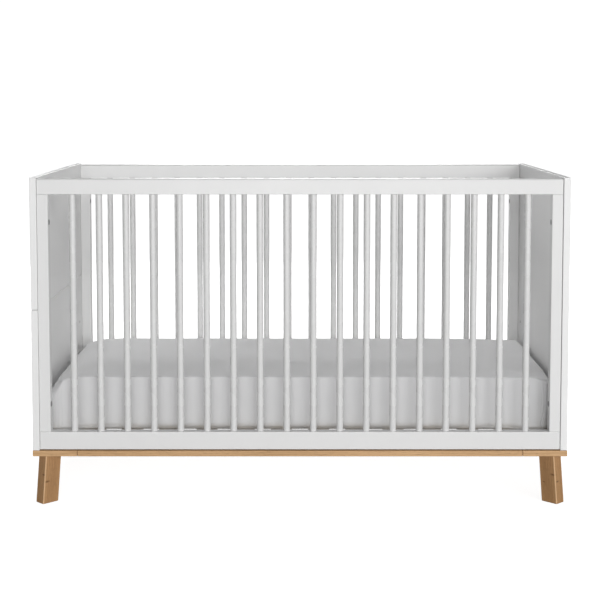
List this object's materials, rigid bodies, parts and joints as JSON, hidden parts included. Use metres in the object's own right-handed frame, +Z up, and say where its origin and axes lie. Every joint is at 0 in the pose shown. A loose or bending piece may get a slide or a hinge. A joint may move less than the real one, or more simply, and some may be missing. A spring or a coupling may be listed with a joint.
{
  "type": "baby crib",
  "caption": "Cot bed with solid end panels, barred long sides, a height-adjustable slatted base, a mattress and a plinth on splayed wooden legs.",
  "frame": {"origin": "on the floor under the middle of the crib", "axes": "+Z up, +X along the crib's length towards the one-piece end panel, +Y from the front side to the back side"},
  "size_m": [1.448, 0.773, 0.891],
  "materials": {
    "white_lacquer": "satin",
    "oak": "satin",
    "base_wood": "matte",
    "mattress_cover": "matte",
    "dark_steel": "satin",
    "zinc_steel": "satin",
    "white_plastic": "matte",
    "felt": "matte",
    "webbing": "matte"
  },
  "bodies": {
    "carcass": {"back_bottom_rail": "white_lacquer", "back_left_stile": "white_lacquer", "back_right_stile": "white_lacquer", "back_rung_01": "white_lacquer", "back_rung_02": "white_lacquer", "back_rung_03": "white_lacquer", "back_rung_04": "white_lacquer", "back_rung_05": "white_lacquer", "back_rung_06": "white_lacquer", "back_rung_07": "white_lacquer", "back_rung_08": "white_lacquer", "back_rung_09": "white_lacquer", "back_rung_10": "white_lacquer", "back_rung_11": "white_lacquer", "back_rung_12": "white_lacquer", "back_rung_13": "white_lacquer", "back_rung_14": "white_lacquer", "back_rung_15": "white_lacquer", "back_rung_16": "white_lacquer", "back_rung_17": "white_lacquer", "back_rung_18": "white_lacquer", "back_top_rail": "white_lacquer", "left_end_panel_lower": "white_lacquer", "leg_back_left": "oak", "leg_back_right": "oak", "leg_front_left": "oak", "leg_front_right": "oak", "plinth_back_board": "oak", "plinth_front_board": "oak", "plinth_left_board": "oak", "plinth_right_board": "oak", "right_end_panel": "white_lacquer"},
    "front_side": {"front_bottom_rail": "white_lacquer", "front_left_stile": "white_lacquer", "front_right_stile": "white_lacquer", "front_rung_01": "white_lacquer", "front_rung_02": "white_lacquer", "front_rung_03": "white_lacquer", "front_rung_04": "white_lacquer", "front_rung_05": "white_lacquer", "front_rung_06": "white_lacquer", "front_rung_07": "white_lacquer", "front_rung_08": "white_lacquer", "front_rung_09": "white_lacquer", "front_rung_10": "white_lacquer", "front_rung_11": "white_lacquer", "front_rung_12": "white_lacquer", "front_rung_13": "white_lacquer", "front_rung_14": "white_lacquer", "front_rung_15": "white_lacquer", "front_rung_16": "white_lacquer", "front_rung_17": "white_lacquer", "front_rung_18": "white_lacquer", "front_top_rail": "white_lacquer"},
    "upper_foot_panel": {"left_end_panel_upper": "white_lacquer"},
    "mattress_base": {"base_front_bearer": "base_wood", "base_back_bearer": "base_wood", "slat_deck": "base_wood"},
    "mattress": {"mattress": "mattress_cover"}
  },
  "joints": [
    {"name": "base_height", "type": "slide", "parent": "carcass", "child": "mattress_base", "axis": [0, 0, 1], "range_m": [0, 0.22]},
    {"name": "mattress_lift", "type": "slide", "parent": "mattress_base", "child": "mattress", "axis": [0, 0, 1], "range_m": [0, 0.72]},
    {"name": "front_side_lift", "type": "slide", "parent": "carcass", "child": "front_side", "axis": [0, 0, 1], "range_m": [0, 0.76]},
    {"name": "upper_foot_panel_lift", "type": "slide", "parent": "carcass", "child": "upper_foot_panel", "axis": [0, 0, 1], "range_m": [0, 0.4]}
  ]
}
